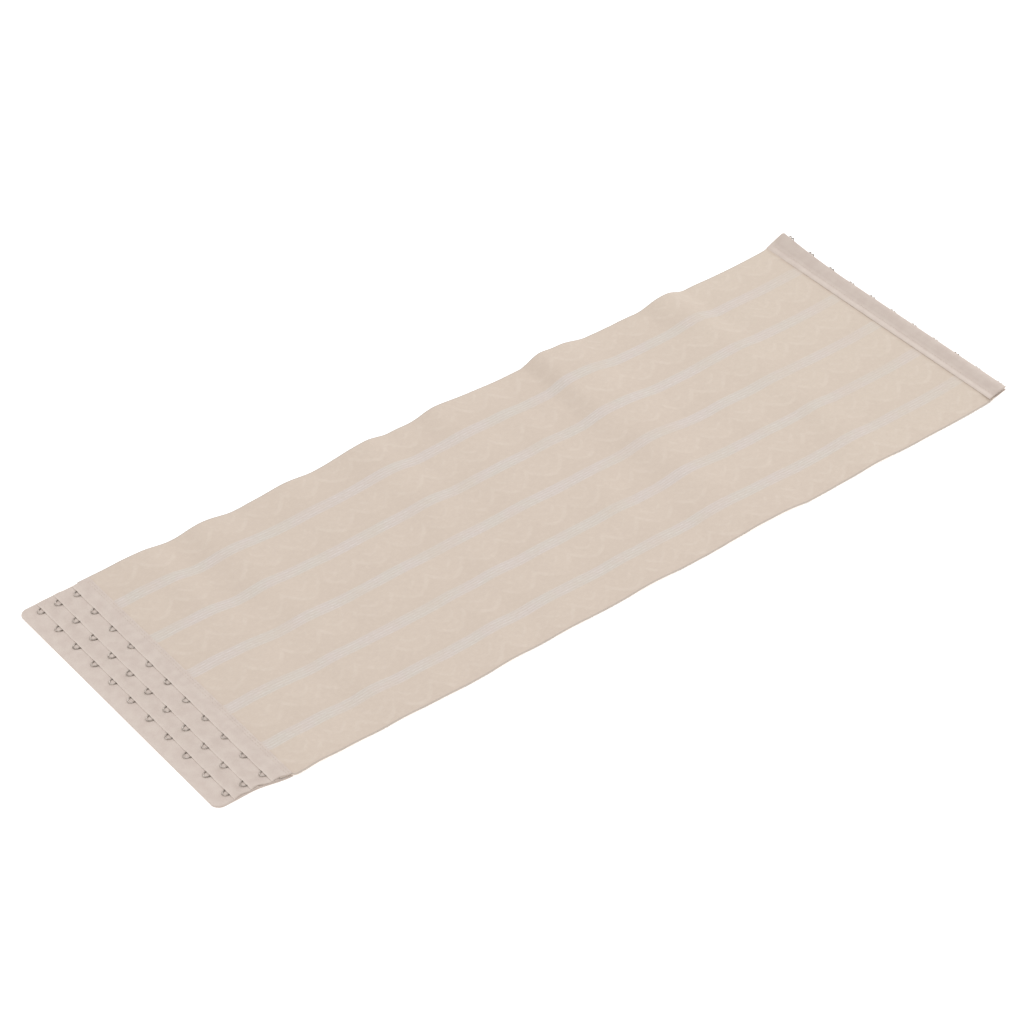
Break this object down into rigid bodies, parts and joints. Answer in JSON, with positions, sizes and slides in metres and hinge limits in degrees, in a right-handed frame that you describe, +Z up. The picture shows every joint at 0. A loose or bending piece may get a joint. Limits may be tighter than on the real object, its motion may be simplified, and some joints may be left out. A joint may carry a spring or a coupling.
{
  "type": "abdominal binder",
  "caption": "wide elastic belly band lying open and flat, with a three-column tape of wire eyes at one end and a tape of wire hooks at the other",
  "frame": {"origin": "middle of the binder's box in plan, on the surface that it lies on", "axes": "+X from the eye tape to the hook tape along the band, +Y across the band to its far edge, +Z up out of the band's outer face"},
  "size_m": [0.6024, 0.21, 0.0093],
  "materials": {
    "elastic_panel": "woven jacquard elastic, beige, matt with a faint sheen",
    "tape_cloth": "brushed knit tape, greyish pink beige, matt",
    "wire": "plain grey steel wire, satin"
  },
  "bodies": {
    "root": {"eye_flap_inner": "tape_cloth", "eye_flap_middle": "tape_cloth", "eye_flap_outer": "tape_cloth", "eye_inner_01": "wire", "eye_inner_02": "wire", "eye_inner_03": "wire", "eye_inner_04": "wire", "eye_inner_05": "wire", "eye_inner_06": "wire", "eye_inner_07": "wire", "eye_inner_08": "wire", "eye_inner_09": "wire", "eye_inner_10": "wire", "eye_inner_11": "wire", "eye_middle_01": "wire", "eye_middle_02": "wire", "eye_middle_03": "wire", "eye_middle_04": "wire", "eye_middle_05": "wire", "eye_middle_06": "wire", "eye_middle_07": "wire", "eye_middle_08": "wire", "eye_middle_09": "wire", "eye_middle_10": "wire", "eye_middle_11": "wire", "eye_outer_01": "wire", "eye_outer_02": "wire", "eye_outer_03": "wire", "eye_outer_04": "wire", "eye_outer_05": "wire", "eye_outer_06": "wire", "eye_outer_07": "wire", "eye_outer_08": "wire", "eye_outer_09": "wire", "eye_outer_10": "wire", "eye_outer_11": "wire", "eye_tape_base": "tape_cloth", "hook_01": "wire", "hook_02": "wire", "hook_03": "wire", "hook_04": "wire", "hook_05": "wire", "hook_06": "wire", "hook_07": "wire", "hook_08": "wire", "hook_09": "wire", "hook_10": "wire", "hook_11": "wire", "hook_tape_top": "tape_cloth", "hook_tape_under": "tape_cloth", "panel": "elastic_panel"}
  },
  "joints": []
}
